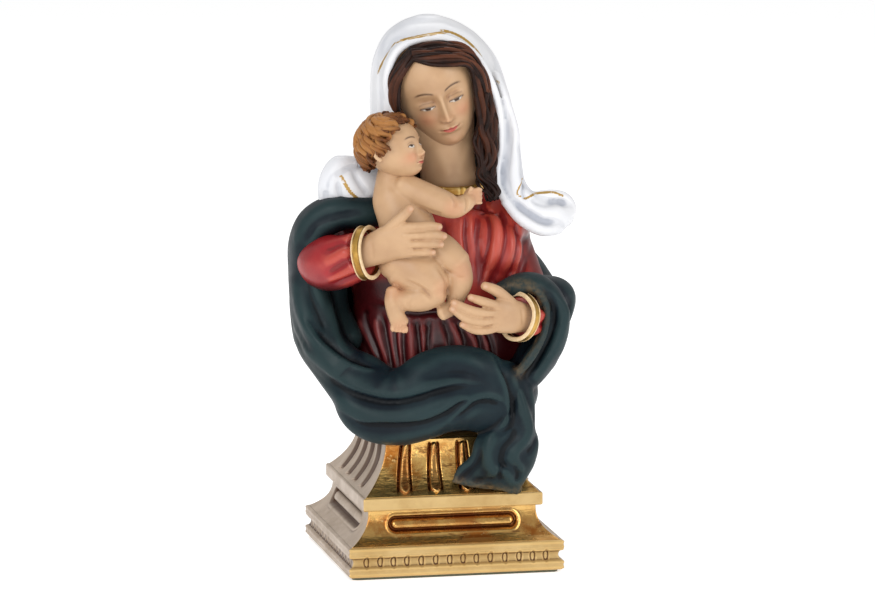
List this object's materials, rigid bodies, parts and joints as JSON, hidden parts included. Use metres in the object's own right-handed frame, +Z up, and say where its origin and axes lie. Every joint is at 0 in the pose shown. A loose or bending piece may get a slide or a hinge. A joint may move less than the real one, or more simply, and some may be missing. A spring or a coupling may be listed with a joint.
{
  "type": "madonna and child statue",
  "caption": "Half-length painted mother-and-child devotional statue with a veil and swirling mantle, on a gilt moulded square plinth.",
  "frame": {"origin": "centre of the felt's underside, on the surface the statue stands on", "axes": "+Z up, +X to the viewer's right as the statue faces the viewer, -Y towards the viewer"},
  "size_m": [0.1713, 0.1343, 0.3006],
  "materials": {
    "gold_leaf": "worn gold leaf over a dark ground, satin to glossy",
    "champagne": "pale matte gold paint",
    "felt": "cut felt",
    "steel": "plain ground pin",
    "skin": "satin paint on cast resin with a warm blush",
    "gown_red": "vermilion paint with a dark wash in the folds",
    "mantle_green": "blue-green paint, lighter dry brush on the ridges",
    "veil_white": "white paint with a grey wash and a thin gold line",
    "hair_brown": "brown paint with a black wash",
    "hair_auburn": "auburn paint with a brown wash"
  },
  "bodies": {
    "root": {"base_felt": "felt", "plinth_foot": "champagne", "plinth_die": "gold_leaf", "plinth_slab": "champagne", "plinth_neck": "gold_leaf", "locating_dowel": "steel", "gown": "gown_red", "sleeve_right": "gown_red", "sleeve_left": "gown_red", "cuff_right": "gold_leaf", "cuff_left": "gold_leaf", "collar": "gold_leaf", "head": "skin", "hand_right": "skin", "hand_left": "skin", "hair_cap": "hair_brown", "hair_lock_left": "hair_brown", "hair_lock_right": "hair_brown", "child_torso": "skin", "child_head": "skin", "child_hair": "hair_auburn", "child_arm": "skin", "child_leg_near": "skin", "child_leg_far": "skin", "mantle_back": "mantle_green", "mantle_shoulder": "mantle_green", "mantle_swag": "mantle_green", "mantle_tail": "mantle_green", "mantle_fold": "mantle_green", "veil": "veil_white", "veil_fall": "veil_white", "veil_end": "veil_white"}
  },
  "joints": []
}
